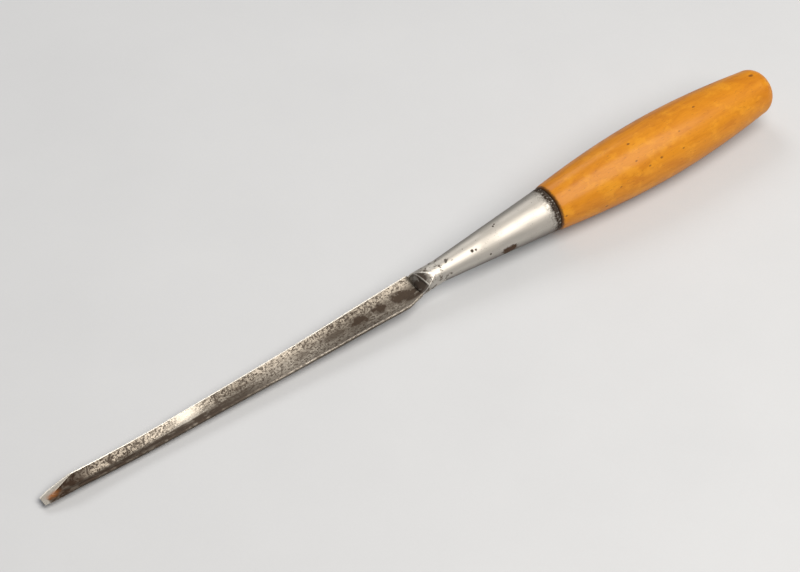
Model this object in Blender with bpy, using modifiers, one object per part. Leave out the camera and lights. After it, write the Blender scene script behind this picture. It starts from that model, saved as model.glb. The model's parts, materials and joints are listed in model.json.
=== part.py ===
"""Socket gouge: a forged steel blade, a hollow iron socket and a turned boxwood handle.

The tool lies on its back with the channel upwards, the cutting end towards -X and the butt
towards +X.  Lengths along the tool are measured from the cutting end, heights from the
tool's own axis.  The axis is tilted a little, so that the swell of the handle and the back
of the blade both touch the ground plane Z = 0.
"""
import math

import bmesh
import bpy
from mathutils import Matrix, Vector

# Driving dimensions, in metres.
OVERALL_LENGTH = 0.350
BLADE_LENGTH = 0.1702           # cutting end to the square shoulder
NECK_APEX = 0.1784              # where the facet on the neck comes to a point on its crown
SEAM = 0.1815                   # forge weld between the blade's neck and the socket
SOCKET_MOUTH = 0.2353
BORE_DEPTH = 0.043              # how far the handle's tenon runs into the socket
BEVEL_LENGTH = 0.0146           # ground bevel inside the channel
TIP_WIDTH = 0.0072
SHOULDER_WIDTH = 0.0144
NECK_ROOT_RADIUS = 0.0048       # round neck where it leaves the shoulders
SOCKET_NOSE_RADIUS = 0.0046
SOCKET_MOUTH_RADIUS = 0.0093
SOCKET_WALL = 0.0014            # at the mouth
HANDLE_BELLY = 0.291            # station of the handle's thickest place
BELLY_RADIUS = 0.0136
HANDLE_FOOT_RADIUS = 0.0096     # just outside the socket's mouth
HANDLE_END_RADIUS = 0.0099      # where the rounded butt starts
BUTT_DEPTH = 0.0080             # length of the rounded butt
FIT = 0.0003                    # clearance between touching pieces

# The blade's run: its rims drop below the axis and come up again at the cutting end.
RIM_DROP = 0.0025
RIM_DROP_SHOULDER = 0.0014
TIP_RISE = 0.0034               # how far the cutting end curves up
TIP_CURVE = 0.052               # length of that curve
REST_STATION = 0.058            # where the blade's back touches the ground
TIP_DEPTH = 0.0040              # rim to back
SHOULDER_DEPTH = 0.0045
LAND = 0.00055                  # flat top of each rim

BACK_POINTS = 22
CHANNEL_POINTS = 18
ROUND_STEPS = 48

COLLECTION = "socket_gouge"


def clear_scene():
    for obj in list(bpy.data.objects):
        bpy.data.objects.remove(obj, do_unlink=True)


def new_collection(name):
    collection = bpy.data.collections.new(name)
    bpy.context.scene.collection.children.link(collection)
    return collection


def make_material(name, colour, roughness, metallic):
    material = bpy.data.materials.new(name)
    material.use_nodes = True
    shader = material.node_tree.nodes["Principled BSDF"]
    shader.inputs["Base Color"].default_value = (*colour, 1.0)
    shader.inputs["Roughness"].default_value = roughness
    shader.inputs["Metallic"].default_value = metallic
    return material


def smooth(low, high, value):
    """Rise smoothly from 0 at low to 1 at high."""
    part = min(1.0, max(0.0, (value - low) / (high - low)))
    return part * part * (3.0 - 2.0 * part)


def mix(first, second, part):
    return first + (second - first) * part


def rim_height(station):
    """Height of the blade's rims above the tool's axis."""
    drop = mix(RIM_DROP, RIM_DROP_SHOULDER, smooth(0.10, 0.172, station))
    lift = max(0.0, 1.0 - station / TIP_CURVE)
    return TIP_RISE * lift ** 1.6 - drop


def blade_width(station):
    """The blade flares from the cutting end to the shoulder."""
    part = max(0.0, station) / BLADE_LENGTH
    return TIP_WIDTH + (SHOULDER_WIDTH - TIP_WIDTH) * (0.30 * part + 0.70 * part ** 2.1)


def blade_depth(station):
    return mix(TIP_DEPTH, SHOULDER_DEPTH, smooth(0.0, BLADE_LENGTH, station))


def channel_depth(station):
    return mix(0.0023, 0.0012, smooth(0.012, 0.075, station)) + 0.0004 * smooth(0.11, 0.16, station)


def channel_run_out(station):
    """The channel rises to nothing in a rounded scoop just behind the shoulder."""
    part = (station - 0.164) / (0.1745 - 0.164)
    return math.sqrt(max(0.0, 1.0 - part * part)) if part > 0.0 else 1.0


def blade_section(station):
    """Outline of the blade across the tool: round the back, then along the channel."""
    half = blade_width(station) / 2.0
    depth = blade_depth(station)
    top = rim_height(station)
    fullness = mix(1.75, 2.1, smooth(0.05, 0.15, station))
    points = []
    for step in range(BACK_POINTS + 1):
        angle = math.pi * step / BACK_POINTS
        across = math.copysign(abs(math.cos(angle)) ** (2.0 / fullness), math.cos(angle))
        down = math.sin(angle) ** (2.0 / fullness)
        points.append((half * across, top - depth * down))
    inner = half - LAND
    sharpness = mix(0.30, 1.2, smooth(0.04, 0.16, station))
    full = math.sqrt(1.0 + sharpness ** 2) - sharpness
    for step in range(CHANNEL_POINTS + 1):
        across = 2.0 * step / CHANNEL_POINTS - 1.0
        rise = (math.sqrt(across ** 2 + sharpness ** 2) - sharpness) / full
        points.append((inner * across, top - channel_depth(station) * (1.0 - rise)))
    return points


def neck_section(station):
    """Outline of the round neck between the blade and the socket."""
    part = smooth(BLADE_LENGTH - 0.004, SEAM, station)
    radius = mix(NECK_ROOT_RADIUS, SOCKET_NOSE_RADIUS, part)
    centre = mix(-0.0005, 0.0, part)
    points = []
    for step in range(ROUND_STEPS):
        angle = 2.0 * math.pi * step / ROUND_STEPS
        points.append((radius * math.cos(angle), centre + radius * math.sin(angle)))
    return points


def facet_height(station):
    """The facet climbs from the blade's face at the shoulders to the crown of the neck."""
    level = rim_height(BLADE_LENGTH)
    slope = (SOCKET_NOSE_RADIUS - level) / (NECK_APEX - BLADE_LENGTH)
    return level + slope * max(0.0, station - BLADE_LENGTH)


def loft(name, stations, section):
    """Skin a row of outlines into one closed body along local X."""
    mesh = bmesh.new()
    rings = []
    for station in stations:
        ring = [mesh.verts.new((station, across, height)) for across, height in section(station)]
        rings.append(ring)
    count = len(rings[0])
    for first, second in zip(rings, rings[1:]):
        for index in range(count):
            after = (index + 1) % count
            mesh.faces.new((first[index], first[after], second[after], second[index]))
    mesh.faces.new(rings[0])
    mesh.faces.new(list(reversed(rings[-1])))
    bmesh.ops.recalc_face_normals(mesh, faces=mesh.faces)
    data = bpy.data.meshes.new(name)
    mesh.to_mesh(data)
    mesh.free()
    return bpy.data.objects.new(name, data)


def spread(first, last, count):
    return [mix(first, last, step / count) for step in range(count + 1)]


def prism(name, outline, low, high):
    """Upright prism over an outline in the local XY plane."""
    mesh = bmesh.new()
    base = mesh.faces.new([mesh.verts.new((along, across, low)) for along, across in outline])
    raised = bmesh.ops.extrude_face_region(mesh, geom=[base])
    tops = [item for item in raised["geom"] if isinstance(item, bmesh.types.BMVert)]
    bmesh.ops.translate(mesh, verts=tops, vec=(0.0, 0.0, high - low))
    bmesh.ops.recalc_face_normals(mesh, faces=mesh.faces)
    data = bpy.data.meshes.new(name)
    mesh.to_mesh(data)
    mesh.free()
    return bpy.data.objects.new(name, data)


def turned(name, profile):
    """Revolve a profile of (station, radius) points, listed from the butt end down."""
    data = bpy.data.meshes.new(name)
    verts = [(radius, 0.0, station) for station, radius in profile]
    data.from_pydata(verts, [(index, index + 1) for index in range(len(verts) - 1)], [])
    obj = bpy.data.objects.new(name, data)
    screw = obj.modifiers.new("turn", "SCREW")
    screw.axis = "Z"
    screw.steps = ROUND_STEPS
    screw.render_steps = ROUND_STEPS
    screw.use_merge_vertices = True
    screw.merge_threshold = 0.00001
    return obj


def add_boolean(obj, other, operation):
    modifier = obj.modifiers.new(operation.lower(), "BOOLEAN")
    modifier.operation = operation
    modifier.solver = "EXACT"
    modifier.object = other


def place(obj, parent, collection, material=None, turn=False):
    """Hang a piece on the tool's axis; turned pieces have their own Z laid along it."""
    collection.objects.link(obj)
    obj.parent = parent
    if turn:
        obj.rotation_euler = (0.0, math.radians(90.0), 0.0)
    if material is None:
        obj.hide_render = True
        obj.display_type = "WIRE"
        return
    obj.data.materials.append(material)
    obj.data.shade_smooth()
    obj.data.set_sharp_from_angle(angle=math.radians(30.0))


def build_blade(axis, parts, cutters, steel):
    """Steel blade with its channel, inside bevel, shoulders and neck."""
    stations = spread(0.0, 0.060, 14) + spread(0.068, BLADE_LENGTH, 14)
    blade = loft("blade", stations, blade_section)
    neck = loft("neck_form", spread(BLADE_LENGTH - 0.004, SEAM, 10), neck_section)
    place(neck, axis, cutters)
    add_boolean(blade, neck, "UNION")

    # The channel ends in a scoop that runs out on the neck's facet.
    def scoop_section(station):
        half = mix(0.0062, 0.0030, smooth(0.162, 0.1745, station))
        floor = channel_depth(station) * channel_run_out(station)
        top = max(rim_height(station), facet_height(station))
        row = [(half * math.cos(math.pi * step / 12), top - floor * math.sin(math.pi * step / 12))
               for step in range(13)]
        return row + [(-half, top + 0.004), (half, top + 0.004)]

    scoop = loft("scoop_cutter", spread(0.160, 0.1744, 10), scoop_section)
    place(scoop, axis, cutters)
    add_boolean(blade, scoop, "DIFFERENCE")

    # One facet cuts the round neck obliquely, from the blade's face up to the crown.
    def facet_section(station):
        low = facet_height(station)
        return [(0.0075, low), (0.0075, 0.014), (-0.0075, 0.014), (-0.0075, low)]

    facet = loft("facet_cutter", [0.160, BLADE_LENGTH, 0.184], facet_section)
    place(facet, axis, cutters)
    add_boolean(blade, facet, "DIFFERENCE")

    # The shoulder on the near side is worn back to a slope, the far one is square.
    worn = prism("worn_shoulder_cutter",
                 [(0.162, -0.0071), (0.1700, -0.0049), (0.1706, -0.0049), (0.1706, -0.0090),
                  (0.162, -0.0090)], -0.012, 0.006)
    place(worn, axis, cutters)
    add_boolean(blade, worn, "DIFFERENCE")

    # Bevel ground inside the channel, from the rims down to the cutting edge.
    heel = rim_height(BEVEL_LENGTH)
    edge = rim_height(0.0) - TIP_DEPTH + 0.0005
    ground = prism("bevel_cutter", [(-0.002, -0.02), (BEVEL_LENGTH + 0.01, -0.02),
                                    (BEVEL_LENGTH + 0.01, 0.02), (-0.002, 0.02)], 0.0, 0.02)
    slope = (heel - edge) / BEVEL_LENGTH
    for vertex in ground.data.vertices:
        vertex.co.z += edge + slope * vertex.co.x
    place(ground, axis, cutters)
    add_boolean(blade, ground, "DIFFERENCE")
    place(blade, axis, parts, steel)


def socket_radius(station):
    part = (station - SEAM) / (SOCKET_MOUTH - SEAM)
    return mix(SOCKET_NOSE_RADIUS, SOCKET_MOUTH_RADIUS, part)


def bore_radius(station):
    """The bore tapers with the socket and is thicker-walled towards the neck."""
    part = (station - (SOCKET_MOUTH - BORE_DEPTH)) / BORE_DEPTH
    return mix(0.0036, SOCKET_MOUTH_RADIUS - SOCKET_WALL, part)


def build_socket(axis, parts, iron):
    """Iron cone, solid at the nose and bored for the handle's tenon."""
    bottom = SOCKET_MOUTH - BORE_DEPTH
    lip = 0.0006
    inner = [(bottom, 0.0)] + [(station, bore_radius(station)) for station in spread(bottom, SOCKET_MOUTH, 4)]
    rounded = []
    for step in range(1, 5):
        angle = math.radians(90.0 * step / 4)
        radius = socket_radius(SOCKET_MOUTH) - lip + lip * math.sin(angle)
        rounded.append((SOCKET_MOUTH - lip + lip * math.cos(angle), radius))
    outer = [(station, socket_radius(station)) for station in reversed(spread(SEAM + FIT, 0.232, 6))]
    profile = inner + rounded + outer + [(SEAM + FIT, 0.0)]
    socket = turned("socket", profile)
    place(socket, axis, parts, iron, turn=True)


def handle_radius(station):
    """Barrel of the handle: thickest behind the middle, fuller towards the socket."""
    if station < HANDLE_BELLY:
        part = (HANDLE_BELLY - station) / (HANDLE_BELLY - SOCKET_MOUTH)
        return BELLY_RADIUS - (BELLY_RADIUS - HANDLE_FOOT_RADIUS) * part ** 1.9
    end = OVERALL_LENGTH - BUTT_DEPTH
    part = (station - HANDLE_BELLY) / (end - HANDLE_BELLY)
    return BELLY_RADIUS - (BELLY_RADIUS - HANDLE_END_RADIUS) * part ** 1.85


def build_handle(axis, parts, wood):
    """Turned handle, its tapered tenon inside the socket and its butt rounded over."""
    end = OVERALL_LENGTH - BUTT_DEPTH
    profile = []
    for step in range(11):
        angle = math.radians(90.0 * step / 10)
        profile.append((end + BUTT_DEPTH * math.cos(angle), HANDLE_END_RADIUS * math.sin(angle)))
    foot = SOCKET_MOUTH + FIT
    profile += [(station, handle_radius(station)) for station in reversed(spread(foot, end, 22)[:-1])]
    tenon_end = SOCKET_MOUTH - BORE_DEPTH + 0.002
    profile += [(station, bore_radius(station) - FIT) for station in reversed(spread(tenon_end, foot, 4))]
    profile.append((tenon_end, 0.0))
    handle = turned("handle", profile)
    place(handle, axis, parts, wood, turn=True)


def main():
    clear_scene()
    parts = new_collection(COLLECTION)
    cutters = new_collection("cutters")

    # The axis is tilted so that the swell and the blade's back rest on Z = 0.
    back_height = rim_height(REST_STATION) - blade_depth(REST_STATION)
    tilt = math.atan2(BELLY_RADIUS + back_height, HANDLE_BELLY - REST_STATION)
    axis = bpy.data.objects.new("tool_axis", None)
    parts.objects.link(axis)
    direction = Vector((math.cos(tilt), 0.0, math.sin(tilt)))
    upward = Vector((-math.sin(tilt), 0.0, math.cos(tilt)))
    tip_drop = rim_height(0.0) - TIP_DEPTH
    middle = direction * OVERALL_LENGTH / 2.0 + upward * tip_drop / 2.0
    rest = BELLY_RADIUS - HANDLE_BELLY * math.sin(tilt)
    axis.matrix_world = Matrix.Translation((-middle.x, 0.0, rest)) @ Matrix.Rotation(-tilt, 4, "Y")

    steel = make_material("blade_steel", (0.33, 0.30, 0.27), 0.42, 1.0)
    iron = make_material("socket_iron", (0.60, 0.59, 0.57), 0.30, 1.0)
    wood = make_material("boxwood", (0.68, 0.33, 0.05), 0.38, 0.0)
    build_blade(axis, parts, cutters, steel)
    build_socket(axis, parts, iron)
    build_handle(axis, parts, wood)


main()
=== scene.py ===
"""Old socket gouge with a turned boxwood handle, lying on a pale floor.

Shapes are worked out in millimetres along the tool: X from the cutting end towards the butt,
Y across towards the far side, Z up from the tool's own axis.
"""
import json
import math

import bmesh
import bpy
from mathutils import Matrix, Vector

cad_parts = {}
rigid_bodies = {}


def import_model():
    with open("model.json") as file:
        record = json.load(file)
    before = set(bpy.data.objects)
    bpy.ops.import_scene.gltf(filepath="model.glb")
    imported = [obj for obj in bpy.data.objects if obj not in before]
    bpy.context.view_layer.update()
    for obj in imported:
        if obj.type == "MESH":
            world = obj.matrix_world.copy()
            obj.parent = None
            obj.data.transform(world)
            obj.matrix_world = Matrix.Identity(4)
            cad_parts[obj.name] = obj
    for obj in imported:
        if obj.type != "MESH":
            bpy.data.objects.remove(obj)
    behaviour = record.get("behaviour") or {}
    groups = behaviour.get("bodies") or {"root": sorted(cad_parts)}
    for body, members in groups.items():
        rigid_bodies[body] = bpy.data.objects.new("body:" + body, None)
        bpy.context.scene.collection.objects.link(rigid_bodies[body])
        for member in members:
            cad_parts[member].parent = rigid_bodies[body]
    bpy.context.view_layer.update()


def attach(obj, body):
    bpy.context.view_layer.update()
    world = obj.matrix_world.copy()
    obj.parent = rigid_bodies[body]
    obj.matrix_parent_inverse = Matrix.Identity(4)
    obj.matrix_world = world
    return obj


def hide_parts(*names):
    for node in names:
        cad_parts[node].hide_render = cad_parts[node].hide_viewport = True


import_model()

for old in list(bpy.data.objects):
    old.select_set(False)
bpy.context.view_layer.objects.active = None


# ---------------------------------------------------------------- blade
# Forged steel blade with a shallow channel on top, a bevel ground inside the cutting end,
# square shoulders (the near one worn back) and a neck that runs round into the socket.
# Old bare steel: pitted, stained brown in the channel, bright along the rims.
# The tool lies on the swell of the handle and on the back of the blade, so its axis rises
# a little towards the butt.  This matrix takes millimetres along the tool to the scene.
TILT = math.radians(1.7123)
ORIGIN = (-0.17497, 0.0, 0.004905)
to_scene = Matrix.Translation(ORIGIN) @ Matrix.Rotation(-TILT, 4, "Y") @ Matrix.Scale(0.001, 4)

BLADE_END = 170.2               # the square shoulder
APEX = 177.0                    # where the neck's facet comes to a point
SEAM = 181.5                    # weld between the neck and the socket
BEVEL = 14.6
TIP_HALF = 3.6                  # half the width at the cutting end
FLARE = 3.6                     # what each side gains by the shoulder
RIM_DROP = 2.5                  # rims below the axis
RIM_DROP_SHOULDER = 1.4
TIP_RISE = 3.4                  # how far the cutting end curves up
TIP_CURVE = 52.0
TIP_DEPTH = 4.0                 # rim to back
SHOULDER_DEPTH = 4.5
WORN_FROM = 162.0               # where the near shoulder starts to be worn back
NECK_ROOT = 4.8
NOSE = 4.6                      # radius of the neck and the socket at the weld
NECK_DROP = 0.5                 # centre of the neck below the axis at the shoulders
FACET_TIP = 126.0               # degrees round the neck to the facet's point
EDGE_DROP = 0.25                # rounding of the rims' outer corner
LAND = 0.55                     # flat top of each rim
LAND_STEPS = 12
CHANNEL_STEPS = 44
BACK_STEPS = 44


def smooth(low, high, value):
    part = min(1.0, max(0.0, (value - low) / (high - low)))
    return part * part * (3.0 - 2.0 * part)


def mix(first, second, part):
    return first + (second - first) * part


def rim_height(along):
    drop = mix(RIM_DROP, RIM_DROP_SHOULDER, smooth(100.0, 172.0, along))
    lift = max(0.0, 1.0 - along / TIP_CURVE)
    return TIP_RISE * lift ** 1.6 - drop


def blade_half(along):
    part = max(0.0, along) / BLADE_END
    return TIP_HALF + FLARE * (0.30 * part + 0.70 * part ** 2.1)


def channel_drop(along):
    depth = mix(2.3, 1.2, smooth(12.0, 75.0, along)) + 0.4 * smooth(110.0, 160.0, along)
    part = max(0.0, (along - 164.0) / 10.5)
    return depth * math.sqrt(max(0.0, 1.0 - part * part))


def channel_rise(along, part):
    sharp = mix(0.22, 1.2, smooth(40.0, 160.0, along))
    return (math.hypot(part, sharp) - sharp) / (math.hypot(1.0, sharp) - sharp)


def blade_ring(along):
    half = blade_half(along)
    worn_back = mix(7.1, 4.75, (along - WORN_FROM) / (BLADE_END - WORN_FROM))
    near = min(half, worn_back) if along > WORN_FROM else half
    top = rim_height(along)
    depth = mix(TIP_DEPTH, SHOULDER_DEPTH, smooth(0.0, BLADE_END, along))
    fullness = mix(mix(2.4, 1.75, smooth(0.0, 16.0, along)), 2.1, smooth(50.0, 150.0, along))
    ground = math.inf
    if along <= BEVEL:
        ground = mix(rim_height(0.0) - 3.5, rim_height(BEVEL), along / BEVEL)
    edge = min(top - EDGE_DROP, ground)
    start = math.asin(((top - edge) / depth) ** (fullness / 2.0))
    reach = math.cos(start) ** (2.0 / fullness)
    ring = []
    for side, width in ((1.0, half), (-1.0, near)):
        rim = []
        for step in range(LAND_STEPS):
            offset = 0.50 * (step / (LAND_STEPS - 1)) ** 1.5
            out = max(0.0, 0.30 - offset) / 0.30
            worn = 1.0 if side > 0.0 else 0.30 * smooth(95.0, 118.0, along)
            rim.append((side * (width * reach - offset), min(ground, top - EDGE_DROP * out * out),
                        worn * smooth(0.0, 0.08, offset)))
        if side > 0.0:
            ring.extend(rim)
            for step in range(1, CHANNEL_STEPS):
                part = 1.0 - 2.0 * step / CHANNEL_STEPS
                inner = (half if part > 0.0 else near) * reach - LAND
                full = inner / ((half if part > 0.0 else near) - LAND)
                floor = top - channel_drop(along) * (1.0 - channel_rise(along, part * full))
                ring.append((part * inner, min(ground, floor), 0.0))
        else:
            ring.extend(reversed(rim))
    for step in range(1, BACK_STEPS):
        angle = mix(math.pi - start, start, step / BACK_STEPS)
        width = half if math.cos(angle) > 0.0 else near
        across = math.copysign(abs(math.cos(angle)) ** (2.0 / fullness), math.cos(angle))
        ring.append((width * across, top - depth * math.sin(angle) ** (2.0 / fullness), 0.0))
    return ring


def neck_ring(along):
    """Round neck with one facet that climbs from the blade's face to a point on its crown."""
    radius = mix(NECK_ROOT, NOSE, smooth(BLADE_END, SEAM, along))
    centre = mix(-NECK_DROP, 0.0, smooth(BLADE_END, SEAM, along))
    climb = min(1.0, max(0.0, (along - BLADE_END) / (APEX - BLADE_END)))
    far_side = mix(8.0, FACET_TIP, climb ** 0.55)
    near_side = mix(190.0, FACET_TIP, climb ** 1.25)

    def at(degrees, wear=0.0):
        angle = math.radians(degrees)
        return radius * math.cos(angle), centre + radius * math.sin(angle), wear

    edge = 1.0 if climb < 1.0 else 0.0
    ring = [at(mix(-12.0, far_side, step / (LAND_STEPS - 1)),
               edge if step == LAND_STEPS - 1 else 0.0) for step in range(LAND_STEPS)]
    first, last = at(far_side), at(near_side)
    for step in range(1, CHANNEL_STEPS):
        part = (step - 0.5) / (CHANNEL_STEPS - 1.0)
        brink = BLADE_END + 0.4 + 3.0 * part ** 0.5
        dip = channel_drop(along) * (1.0 - channel_rise(along, 2.0 * part - 1.0))
        dip *= 1.0 - smooth(brink - 0.5, brink, along)
        wear = max(0.0, 1.0 - abs(along - brink) / 0.28) - smooth(brink - 0.15, brink - 0.5, along)
        if step < 3 or step > CHANNEL_STEPS - 3:
            wear = edge
        ring.append((mix(first[0], last[0], part), mix(first[1], last[1], part) - dip, wear))
    ring += [at(mix(near_side, 205.0, step / (LAND_STEPS - 1)), edge if step == 0 else 0.0)
             for step in range(LAND_STEPS)]
    ring += [at(mix(205.0, 348.0, step / BACK_STEPS)) for step in range(1, BACK_STEPS)]
    return ring


def spread(first, last, count):
    return [mix(first, last, step / count) for step in range(count)]


def skin(name, rings):
    """Close a row of outlines into one body and lay it in the scene."""
    sheet = bmesh.new()
    wear = sheet.verts.layers.float.new("wear")
    loops = []
    for along, outline in rings:
        loops.append([])
        for across, height, worn in outline:
            corner = sheet.verts.new((along, across, height))
            corner[wear] = worn
            loops[-1].append(corner)
    for first, second in zip(loops, loops[1:]):
        for index in range(len(first)):
            after = (index + 1) % len(first)
            sheet.faces.new((first[index], first[after], second[after], second[index]))
    sheet.faces.new(loops[0])
    sheet.faces.new(list(reversed(loops[-1])))
    bmesh.ops.remove_doubles(sheet, verts=sheet.verts, dist=0.0005)
    bmesh.ops.recalc_face_normals(sheet, faces=sheet.faces)
    data = bpy.data.meshes.new(name)
    sheet.to_mesh(data)
    sheet.free()
    data.transform(to_scene)
    made = bpy.data.objects.new(name, data)
    bpy.context.scene.collection.objects.link(made)
    data.shade_smooth()
    data.set_sharp_from_angle(angle=math.radians(32.0))
    return made


rings = [(along, blade_ring(along)) for along in spread(0.0, 20.0, 80) + spread(20.0, 160.0, 200)
         + spread(160.0, BLADE_END, 34) + [BLADE_END]]
rings += [(along, neck_ring(along)) for along in spread(BLADE_END + 0.001, 174.6, 96)
          + spread(174.6, SEAM, 36) + [SEAM]]
blade = skin("blade_steel_forging", rings)


class Sock:
    """A shader socket that takes part in arithmetic."""

    def __init__(self, tree, out):
        self.tree = tree
        self.out = out

    def node(self, kind, sockets, output=0, **settings):
        made = self.tree.nodes.new(kind)
        for key, value in settings.items():
            setattr(made, key, value)
        for key, value in sockets.items():
            if isinstance(value, Sock):
                self.tree.links.new(value.out, made.inputs[key])
            else:
                made.inputs[key].default_value = value
        return Sock(self.tree, made.outputs[output])

    def math(self, operation, *others):
        return self.node("ShaderNodeMath", dict(enumerate((self,) + others)),
                         operation=operation)

    def __add__(self, other):
        return self.math("ADD", other)

    __radd__ = __add__

    def __mul__(self, other):
        return self.math("MULTIPLY", other)

    __rmul__ = __mul__

    def __sub__(self, other):
        return self.math("SUBTRACT", other)

    def __rsub__(self, other):
        return self * -1.0 + other

    def __truediv__(self, other):
        return self.math("DIVIDE", other)

    def __pow__(self, other):
        return self.math("POWER", other)

    def __abs__(self):
        return self.math("ABSOLUTE")

    def most(self, other):
        return self.math("MAXIMUM", other)

    def least(self, other):
        return self.math("MINIMUM", other)

    def ramp(self, low, high):
        """Smooth step from 0 at low to 1 at high (low may be the larger)."""
        return self.node("ShaderNodeMapRange", {"Value": self, "From Min": low, "From Max": high},
                         interpolation_type="SMOOTHSTEP")

    def bump_at(self, centre, width):
        """1 at the centre, 0 beyond the width."""
        return abs(self - centre).ramp(width, 0.0)

    def blend(self, first, second):
        return self.node("ShaderNodeMix", {0: self, 6: first, 7: second}, output=2,
                         data_type="RGBA")

    def parts(self):
        split = self.tree.nodes.new("ShaderNodeSeparateXYZ")
        self.tree.links.new(self.out, split.inputs[0])
        return [Sock(self.tree, out) for out in split.outputs]

    def stretch(self, x, y, z):
        return self.node("ShaderNodeVectorMath", {0: self, 1: (x, y, z)}, operation="MULTIPLY")

    def noise(self, scale, detail=3.0, rough=0.55, warp=0.0):
        return self.node("ShaderNodeTexNoise",
                         {"Vector": self, "Scale": scale, "Detail": detail, "Roughness": rough,
                          "Distortion": warp})

    def cells(self, scale):
        return self.node("ShaderNodeTexVoronoi", {"Vector": self, "Scale": scale})

    def bump(self, strength, distance):
        return self.node("ShaderNodeBump",
                         {"Height": self, "Strength": strength, "Distance": distance})


def new_material(name):
    """A material with coordinates in millimetres along the tool."""
    material = bpy.data.materials.new(name)
    material.use_nodes = True
    tree = material.node_tree
    coordinates = Sock(tree, tree.nodes.new("ShaderNodeTexCoord").outputs["Object"])
    place = coordinates.node("ShaderNodeMapping",
                             {"Vector": coordinates, "Location": ORIGIN,
                              "Rotation": (0.0, -TILT, 0.0), "Scale": (0.001, 0.001, 0.001)},
                             vector_type="TEXTURE")
    return material, place


def feed(material, **sockets):
    tree = material.node_tree
    shader = tree.nodes["Principled BSDF"]
    for key, value in sockets.items():
        target = shader.inputs[key.replace("_", " ")]
        if isinstance(value, Sock):
            tree.links.new(value.out, target)
        else:
            target.default_value = value


steel, place = new_material("old_blade_steel")
u, y, z = place.parts()
wander = place.noise(0.12, 3.0)
fine = place.noise(1.0, 5.0, 0.75)
specks = place.stretch(0.8, 1.0, 1.0).noise(1.25, 2.0, 0.6)
smudge = place.noise(0.42, 4.0, 0.62)
mid = place.stretch(0.6, 1.0, 1.0).noise(0.42, 5.0, 0.68)
broad = place.stretch(0.35, 1.0, 1.0).noise(0.16, 3.0, 0.55)
wear = u.node("ShaderNodeAttribute", {}, output=2, attribute_name="wear")
rim = wear.ramp(0.1, 0.9)
scoop = wear.ramp(-0.1, -0.9)
part = u / BLADE_END
half = TIP_HALF + FLARE * (0.30 * part + 0.70 * part ** 2.1)
rim_level = TIP_RISE * (1.0 - u / TIP_CURVE).most(0.0) ** 1.6 - RIM_DROP
rim_level = rim_level + (RIM_DROP - RIM_DROP_SHOULDER) * u.ramp(100.0, 172.0)
# Painted shade: the blade's outer walls below the rims are darkened towards brown, as far as the
# shoulder.
painted_shade_walls = (rim_level - z).ramp(0.35, 0.9) * (abs(y) - half).ramp(-1.6, -0.5)
painted_shade_walls = painted_shade_walls * u.ramp(171.0, 170.0)
clean = u.bump_at(64.5, 10.0) * y.ramp(-0.9, -0.3)
neck = u.ramp(169.8, 170.6)
tarnish = u.ramp(54.0, 38.0).most(u.bump_at(86.0, 20.0)).most(u.bump_at(140.0, 34.0))
tarnish = tarnish * (0.35 + 1.3 * broad).least(1.0)
zone = (0.50 + 0.9 * (broad - 0.42) + 0.35 * tarnish).least(1.0)
zone = zone - 0.75 * clean - 2.0 * neck
speckle = specks.ramp(0.515, 0.60).most(fine.ramp(0.54, 0.62))
speckle = speckle * (0.20 + zone).least(1.0).most(0.0)
mottle = mid.ramp(0.50, 0.66) * (0.15 + zone).least(1.0).most(0.0)
# Dark blotches along the channel's floor in the half next to the neck.
blotch = None
for station, long, wide, depth in ((131.5, 4.2, 1.5, 0.75), (143.3, 3.4, 2.0, 1.0),
                                   (153.6, 3.2, 1.9, 1.0), (163.6, 4.4, 2.4, 1.0)):
    away = (((u - station) / long) ** 2.0 + ((y - 0.5) / wide) ** 2.0) ** 0.5
    ragged = away + 3.0 * (mid - 0.5) + 1.4 * (smudge - 0.5) + 0.9 * (fine - 0.5)
    pool = ragged.ramp(1.45, 0.60) * depth
    blotch = pool if blotch is None else blotch.most(pool)
trail = (y - 0.8 * (wander - 0.5)).bump_at(0.2, 3.6) * u.ramp(100.0, 124.0) * u.ramp(176.0, 170.0)
blotch = blotch.most(0.75 * trail * mid.ramp(0.47, 0.58))
scoop_dirt = u.ramp(158.0, 167.0) * u.ramp(176.5, 171.5) * y.bump_at(-1.2, 5.4)
blotch = blotch.most((1.7 * scoop_dirt * mid.ramp(0.34, 0.52)).least(1.0))
# Darker brown over the near side of the channel in the half next to the cutting end.
near_face = (wander - 0.5 - y).ramp(0.0, 0.7) * u.ramp(118.0, 70.0)
near_side_dark = near_face * u.ramp(8.0, 14.0) * (0.55 + 0.6 * mid.ramp(0.38, 0.58)).least(1.0)
# Stain rings where drops dried on the blade.
rings_here = None
bowed = u - 0.16 * y * y + 7.0 * (wander - 0.5) + 2.6 * (mid - 0.5)
for station, width in ((19.5, 0.8), (29.8, 1.5), (37.0, 0.8), (45.8, 0.9), (76.0, 1.6)):
    ring = bowed.bump_at(station, width) * mid.ramp(0.36, 0.50)
    rings_here = ring if rings_here is None else rings_here.most(ring)
dark = (0.80 * speckle).most(0.55 * mottle).most(0.92 * blotch).most(0.90 * near_side_dark)
# The painted shade on the outer walls joins the stains here.
dark = dark.most(0.85 * rings_here).most(0.85 * painted_shade_walls)
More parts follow.
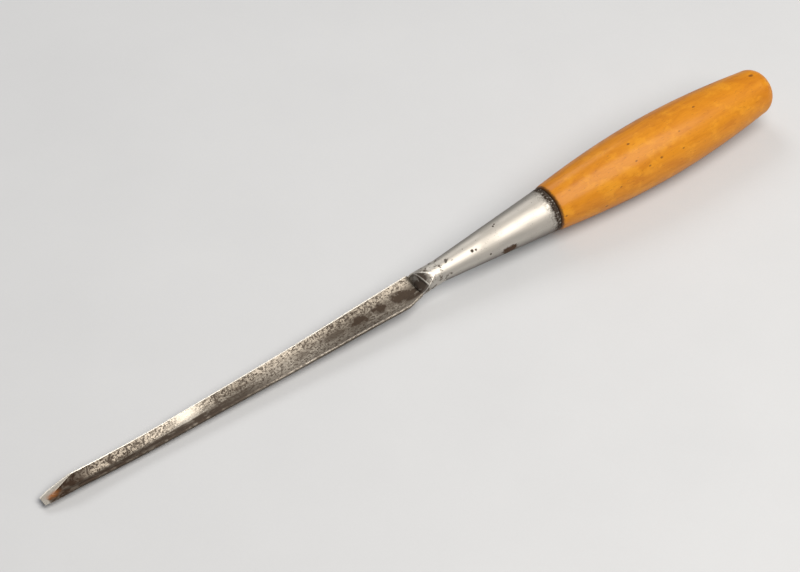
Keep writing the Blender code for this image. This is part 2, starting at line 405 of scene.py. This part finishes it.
# The inside of the channel next to the bevel is stained, the bevel itself is ground clean.
bevel_face = (z - 0.14425 * u).ramp(-2.68, -2.62) * u.ramp(15.4, 14.4)
wedge = u.ramp(24.0, 15.0) * (1.0 - bevel_face) * (half - abs(y)).ramp(0.4, 1.0)
dark = dark.most(wedge * (0.62 + 0.5 * mid.ramp(0.40, 0.60)).least(1.0))
ground_clean = bevel_face * (y + 1.2 * (mid - 0.5)).ramp(-0.9, -0.1).most(u.ramp(2.6, 1.4))
near_grime = (0.60 + 0.6 * mid.ramp(0.40, 0.60)).least(1.0)
near_grime = (bevel_face - ground_clean).most(0.0) * near_grime
dark = (dark * (1.0 - 0.92 * bevel_face)).most(near_grime) * (1.0 - 0.80 * rim)
neck_dirt = neck * smudge.ramp(0.52, 0.61) * 0.85 * (1.0 - 0.6 * scoop)
scoop_stain = 0.82 * scoop * mid.ramp(0.36, 0.56)
dark = dark.most(neck_dirt).most(scoop_stain) * (1.0 - 0.8 * rim)
rust = (u + 2.0 * (mid - 0.5)).bump_at(4.6, 4.6) * (mid + 0.5 * fine).ramp(0.60, 0.76)
rust = rust * (y + 0.2).bump_at(0.0, 2.2)
bright_metal = broad.blend((0.31, 0.272, 0.225, 1.0), (0.53, 0.475, 0.405, 1.0))
bright_metal = (0.72 * tarnish).blend(bright_metal, (0.185, 0.160, 0.130, 1.0))
bright_metal = (0.75 * clean).blend(bright_metal, (0.62, 0.575, 0.505, 1.0))
bright_metal = neck.blend(bright_metal, (0.51, 0.483, 0.442, 1.0))
bright_metal = ground_clean.blend(bright_metal, (0.52, 0.485, 0.43, 1.0))
bright_metal = rim.blend(bright_metal, (0.84, 0.80, 0.73, 1.0))
brown = fine.blend((0.010, 0.006, 0.004, 1.0), (0.072, 0.042, 0.025, 1.0))
colour = dark.blend(bright_metal, brown)
colour = rust.blend(colour, (0.30, 0.105, 0.022, 1.0))
scratches = place.stretch(0.05, 2.4, 2.4).noise(2.2, 4.0, 0.6)
tooth = fine * 0.6 + mid * 0.8 - dark * 0.6 + scratches * 0.15
feed(steel, Base_Color=colour, Specular_IOR_Level=0.15, Metallic=1.0 - 0.88 * dark.most(rust),
     Roughness=(0.38 + 0.28 * dark + 0.12 * fine + 0.08 * scratches - 0.06 * rim).least(0.9),
     Normal=tooth.bump(0.45, 0.0003))
blade.data.materials.append(steel)
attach(blade, "forging")
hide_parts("blade")


# ---------------------------------------------------------------- socket
# Hollow cone forge-welded to the neck and polished bright; its open mouth takes the handle.
# Bare iron with fine lengthwise scratches, a few black pits, a rust patch low on the near
# side and a ragged black band round the rounded lip.
MOUTH = 235.3
MOUTH_RADIUS = 9.3
LIP = 0.7                       # rounding of the lip
BORE = 43.0                     # depth of the taper for the handle's tenon
AROUND = 112


def turn(name, profile):
    """Draw a ring out along X through (station, radius) stations with edit-mode extrudes."""
    bpy.ops.object.select_all(action="DESELECT")
    start, size = profile[0]
    bpy.ops.mesh.primitive_circle_add(vertices=AROUND, radius=size, location=(0, 0, 0))
    made = bpy.context.object
    made.name = name
    made.data.transform(Matrix.Translation((start, 0.0, 0.0))
                        @ Matrix.Rotation(math.radians(90.0), 4, "Y"))
    bpy.ops.object.mode_set(mode="EDIT")
    bpy.ops.mesh.select_all(action="SELECT")
    bpy.ops.mesh.edge_face_add()
    for (station, radius), (following, wanted) in zip(profile, profile[1:]):
        bpy.ops.mesh.extrude_region_move(
            TRANSFORM_OT_translate={"value": (following - station, 0.0, 0.0)})
        bpy.ops.transform.resize(value=(1.0, wanted / radius, wanted / radius))
    bpy.ops.mesh.select_all(action="SELECT")
    bpy.ops.mesh.normals_make_consistent(inside=False)
    bpy.ops.object.mode_set(mode="OBJECT")
    made.data.transform(to_scene)
    made.data.shade_smooth()
    made.data.set_sharp_from_angle(angle=math.radians(34.0))
    return made


profile = [(SEAM + part * (MOUTH - LIP - SEAM) / 24.0, mix(NOSE, MOUTH_RADIUS - 0.05, part / 24.0))
           for part in range(25)]
profile += [(MOUTH - LIP + LIP * math.sin(angle), MOUTH_RADIUS - 0.68 + 0.68 * math.cos(angle))
            for angle in (0.35, 0.7, 1.05, 1.4)]
profile += [(MOUTH, 8.25), (MOUTH - 0.25, 8.0)]
profile += [(MOUTH - BORE * part / 10.0, mix(7.9, 3.6, part / 10.0)) for part in range(1, 11)]
socket = turn("socket_polished_cone", profile)

iron, place = new_material("polished_socket_iron")
u, y, z = place.parts()
fine = place.noise(1.2, 4.0, 0.7)
mid = place.noise(0.42, 4.0, 0.62)
broad = place.noise(0.09, 3.0, 0.5)
lines = place.stretch(0.035, 1.6, 1.6).noise(2.6, 5.0, 0.65)
long_lines = place.stretch(0.012, 1.0, 1.0).noise(1.4, 3.0, 0.6)
ragged = (MOUTH - u) + 3.0 * (mid - 0.5) + 2.6 * (fine - 0.5)
lip_band = ragged.ramp(3.4, 1.9).most(0.75 * ragged.ramp(6.2, 2.4) * fine.ramp(0.47, 0.55))
worn_lip = fine.ramp(0.54, 0.62) * (MOUTH - u).ramp(0.1, 0.5) * 0.65
dirt = lip_band * (1.0 - worn_lip)
pits = place.cells(0.42).ramp(0.11, 0.05) * mid.ramp(0.48, 0.54)
pits = pits.most(0.7 * place.cells(1.1).ramp(0.16, 0.07) * broad.ramp(0.44, 0.54))
for station, side, height, size in ((195.4, -2.9, 4.6, 0.95), (197.0, -3.3, 4.5, 0.75),
                                    (202.2, -6.2, 1.2, 0.60), (208.6, 0.8, 6.8, 0.55),
                                    (209.6, 1.4, 6.9, 0.50)):
    away = ((u - station) ** 2.0 + (y - side) ** 2.0 + (z - height) ** 2.0) ** 0.5
    pits = pits.most((away + 0.6 * (fine - 0.5)).ramp(size, 0.5 * size))
away = (((u - 211.0) * 0.40) ** 2.0 + (y + 7.1) ** 2.0 * 0.6 + (z + 1.3) ** 2.0 * 0.6) ** 0.5
stain = (away + 2.6 * (mid - 0.5) + 1.6 * (fine - 0.5)).ramp(1.9, 1.35)
neck_dirt = (mid - 0.016 * (u - SEAM).most(0.0)).ramp(0.52, 0.61) * 0.85
dark = dirt.most(pits).most(stain).most(neck_dirt)
taper = NOSE + (u - SEAM) * 0.0874
# A darker tone underneath and on the far side stands in for the dark table that bare iron
# would mirror.  It is given here and is not a finish of the iron itself.
painted_shade_below = (z / taper + 0.15 * (mid - 0.5)).ramp(0.20, -0.55)
far_dim = (y / taper + 0.15 * (mid - 0.5)).ramp(0.10, 0.95)
shade = (0.88 * painted_shade_below).most(0.72 * far_dim)
sheen = (0.35 + 0.50 * long_lines).blend((0.42, 0.395, 0.36, 1.0), (0.60, 0.57, 0.525, 1.0))
sheen = shade.blend(sheen, (0.11, 0.099, 0.087, 1.0))
grime = fine.blend((0.010, 0.008, 0.007, 1.0), (0.075, 0.052, 0.036, 1.0))
colour = dark.blend(sheen, stain.blend(grime, (0.070, 0.040, 0.024, 1.0)))
haze = broad.ramp(0.45, 0.7) * 0.10
feed(iron, Base_Color=colour, Specular_IOR_Level=0.15, Metallic=1.0 - 0.9 * dark,
     Roughness=(0.46 + haze + 0.14 * lines + 0.25 * dark).least(0.9),
     Normal=(0.35 * lines + 0.30 * fine - 0.9 * dark).bump(0.30, 0.0002))
socket.data.materials.append(iron)
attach(socket, "forging")
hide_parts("socket")


# ---------------------------------------------------------------- handle
# Turned boxwood handle, barrel-shaped with a rounded butt; its tapered tenon is driven into
# the socket.  Varnished honey-orange with a satin shine, small dents, darker blotches towards
# the far side and painted shade underneath; the tenon inside the socket is bare pale wood.
LENGTH = 350.0
BELLY = 291.0                   # the thickest place
BELLY_RADIUS = 13.6
FOOT_RADIUS = 9.6               # just outside the socket's mouth
END_RADIUS = 9.9                # where the rounded butt starts
BUTT = 8.0                      # length of the rounded butt


def handle_radius(along):
    if along < BELLY:
        part = (BELLY - along) / (BELLY - MOUTH)
        return BELLY_RADIUS - (BELLY_RADIUS - FOOT_RADIUS) * part ** 1.9
    part = (along - BELLY) / (LENGTH - BUTT - BELLY)
    return BELLY_RADIUS - (BELLY_RADIUS - END_RADIUS) * part ** 1.85


profile = [(MOUTH - BORE + 2.0, 1.2), (MOUTH - BORE + 2.0, 3.0), (MOUTH - BORE + 2.6, 3.45)]
profile += [(mix(MOUTH - 38.0, MOUTH, part / 8.0), mix(3.9, 7.55, part / 8.0))
            for part in range(8)]
profile += [(MOUTH + 0.12, 7.6), (MOUTH + 0.18, 8.4), (MOUTH + 0.25, 9.1), (MOUTH + 0.6, 9.5)]
profile += [(along, handle_radius(along)) for along in spread(MOUTH + 1.4, LENGTH - BUTT, 70)]
profile += [(LENGTH - BUTT + (BUTT - 0.15) * math.sin(angle), END_RADIUS * math.cos(angle) ** 0.9)
            for angle in [math.pi / 2.0 * step / 22.0 for step in range(22)]]
handle = turn("handle_turned_boxwood", profile)

wood, place = new_material("varnished_boxwood")
u, y, z = place.parts()
grain = place.stretch(0.06, 1.0, 1.0).noise(0.9, 5.0, 0.62, 0.4)
flecks = place.stretch(0.28, 1.3, 1.3).noise(1.5, 3.0, 0.6)
figure = place.stretch(0.16, 0.5, 0.5).noise(0.30, 4.0, 0.6, 0.8)
mottling = place.stretch(0.7, 1.0, 1.0).noise(0.15, 5.0, 0.62)
fine = place.noise(1.1, 4.0, 0.65)
honey = grain.ramp(0.20, 0.85).blend((0.560, 0.198, 0.0045, 1.0), (0.640, 0.243, 0.0070, 1.0))
colour = (0.60 * figure.ramp(0.46, 0.66)).blend(honey, (0.47, 0.148, 0.0030, 1.0))
colour = (0.55 * mottling.ramp(0.50, 0.64)).blend(colour, (0.72, 0.305, 0.014, 1.0))
colour = (0.40 * flecks.ramp(0.60, 0.68)).blend(colour, (0.30, 0.088, 0.006, 1.0))
dents = place.stretch(0.6, 1.0, 1.0).cells(0.22).ramp(0.13, 0.06) * mottling.ramp(0.44, 0.54)
for station, side, height, size in ((341.5, 0.5, 9.9, 0.9), (243.0, -4.2, 9.2, 0.7)):
    away = ((0.6 * (u - station)) ** 2.0 + (y - side) ** 2.0 + (z - height) ** 2.0) ** 0.5
    dents = dents.most((away + 0.5 * (fine - 0.5)).ramp(size, 0.4 * size))
colour = (0.75 * dents).blend(colour, (0.11, 0.032, 0.004, 1.0))
# Darker blotches towards the far side of the handle.
far_side_dark = (y + 5.0 * (mottling - 0.5)).ramp(3.0, 11.0) * mottling.ramp(0.36, 0.58)
colour = (0.60 * far_side_dark).blend(colour, (0.30, 0.090, 0.006, 1.0))
# Painted shade: the same stand-in tone darkens the wood underneath, as on the socket.
painted_shade_below = (z + 4.0 * (mottling - 0.5)).ramp(-2.0, -11.0)
colour = (0.65 * painted_shade_below).blend(colour, (0.28, 0.085, 0.006, 1.0))
grimy_end = (u + 1.5 * (fine - 0.5)).ramp(MOUTH + 1.6, MOUTH + 0.4)
colour = (0.85 * grimy_end).blend(colour, (0.030, 0.014, 0.007, 1.0))
bare = u.ramp(MOUTH + 0.3, MOUTH - 0.2)
colour = bare.blend(colour, grain.blend((0.50, 0.33, 0.15, 1.0), (0.68, 0.50, 0.27, 1.0)))
feed(wood, Base_Color=colour, Roughness=0.44 + 0.12 * mottling + 0.10 * flecks + 0.25 * bare,
     Coat_Weight=0.22 - 0.22 * bare, Coat_Roughness=0.22, Specular_IOR_Level=0.22,
     Normal=(0.20 * grain + 0.25 * flecks + 0.25 * fine - 1.1 * dents).bump(0.30, 0.0003))
handle.data.materials.append(wood)
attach(handle, "turned_handle")
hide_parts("handle")


# ---------------------------------------------------------------- floor
# Pale matt studio floor with a barely visible tooth.
bpy.ops.object.select_all(action="DESELECT")
bpy.ops.mesh.primitive_plane_add(size=6.0, location=(0.0, 0.0, 0.0))
floor = bpy.context.object
floor.name = "studio_floor"
paper, place = new_material("pale_floor")
tone = place.noise(0.02, 4.0, 0.6)
tooth = place.noise(1.2, 3.0, 0.6)
feed(paper, Base_Color=(0.6 * tone + 0.4 * tooth).blend((0.56, 0.575, 0.60, 1.0),
                                                       (0.63, 0.645, 0.67, 1.0)),
     Roughness=0.62 + 0.1 * tooth, Normal=tooth.bump(0.06, 0.0002))
floor.data.materials.append(paper)


# ---------------------------------------------------------------- light and camera
# One large soft light above the camera's side, a weaker one from the far side, and a
# dim even surround.
def soft_light(name, azimuth, elevation, distance, size, power, colour):
    lamp = bpy.data.lights.new(name, "AREA")
    lamp.shape = "DISK"
    lamp.size = size
    lamp.energy = power
    lamp.color = colour
    shining = bpy.data.objects.new(name, lamp)
    a, e = math.radians(azimuth), math.radians(elevation)
    back = Vector((math.sin(a) * math.cos(e), -math.cos(a) * math.cos(e), math.sin(e)))
    shining.location = back * distance
    shining.rotation_mode = "QUATERNION"
    shining.rotation_quaternion = (-back).to_track_quat("-Z", "Y")
    bpy.context.scene.collection.objects.link(shining)


soft_light("key_softbox", 24.0, 60.0, 1.3, 1.3, 22.0, (1.0, 0.95, 0.88))
soft_light("far_fill", 165.0, 45.0, 1.6, 0.8, 6.0, (1.0, 0.98, 0.95))
world = bpy.data.worlds.new("studio_surround")
world.use_nodes = True
world.node_tree.nodes["Background"].inputs["Color"].default_value = (0.80, 0.82, 0.85, 1.0)
world.node_tree.nodes["Background"].inputs["Strength"].default_value = 0.20
bpy.context.scene.world = world
bpy.context.scene.view_settings.view_transform = "Standard"

CAMERA_AZIMUTH = -36.56
CAMERA_ELEVATION = 47.08
CAMERA_DISTANCE = 1.100
a, e = math.radians(CAMERA_AZIMUTH), math.radians(CAMERA_ELEVATION)
back = Vector((math.sin(a) * math.cos(e), -math.cos(a) * math.cos(e), math.sin(e)))
right = Vector((math.cos(a), math.sin(a), 0.0))
up = back.cross(right)
target = right * -0.0100 + up * 0.0032 + Vector((0.0, 0.0, 0.0011))
lens = bpy.data.cameras.new("studio_camera")
lens.lens = 126.8
lens.sensor_width = 36.0
lens.clip_start = 0.05
lens.clip_end = 20.0
camera = bpy.data.objects.new("studio_camera", lens)
camera.location = target + back * CAMERA_DISTANCE
camera.rotation_mode = "QUATERNION"
camera.rotation_quaternion = (-back).to_track_quat("-Z", "Y")
bpy.context.scene.collection.objects.link(camera)
bpy.context.scene.camera = camera
